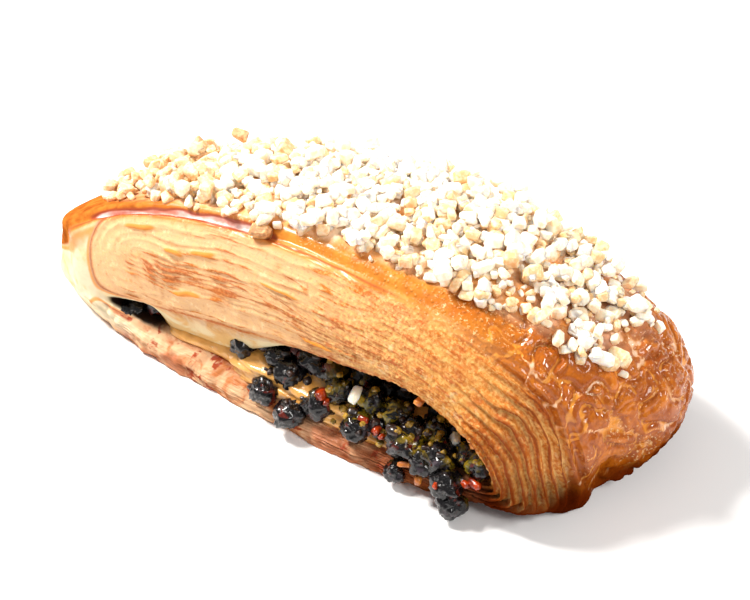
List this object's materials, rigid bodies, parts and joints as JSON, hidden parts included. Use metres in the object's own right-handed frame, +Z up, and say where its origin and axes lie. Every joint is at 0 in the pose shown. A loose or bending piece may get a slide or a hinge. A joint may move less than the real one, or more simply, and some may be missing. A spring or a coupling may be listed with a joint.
{
  "type": "danish pastry",
  "caption": "Folded, laminated danish pastry with an open mouth in its cut side, a custard and chocolate-chip filling, and pearl sugar on its crown.",
  "frame": {"origin": "centre of the bounding box, on the flat base", "axes": "+X along the pastry's length, with the wide end of the mouth at +X; +Y from the mouth to the closed back; +Z up"},
  "size_m": [0.1439, 0.0639, 0.0466],
  "materials": {
    "dough": "baked, egg-washed crust with pearl sugar",
    "filling": "baked custard with chocolate chips"
  },
  "bodies": {
    "root": {"dough": "dough", "filling": "filling"}
  },
  "joints": []
}
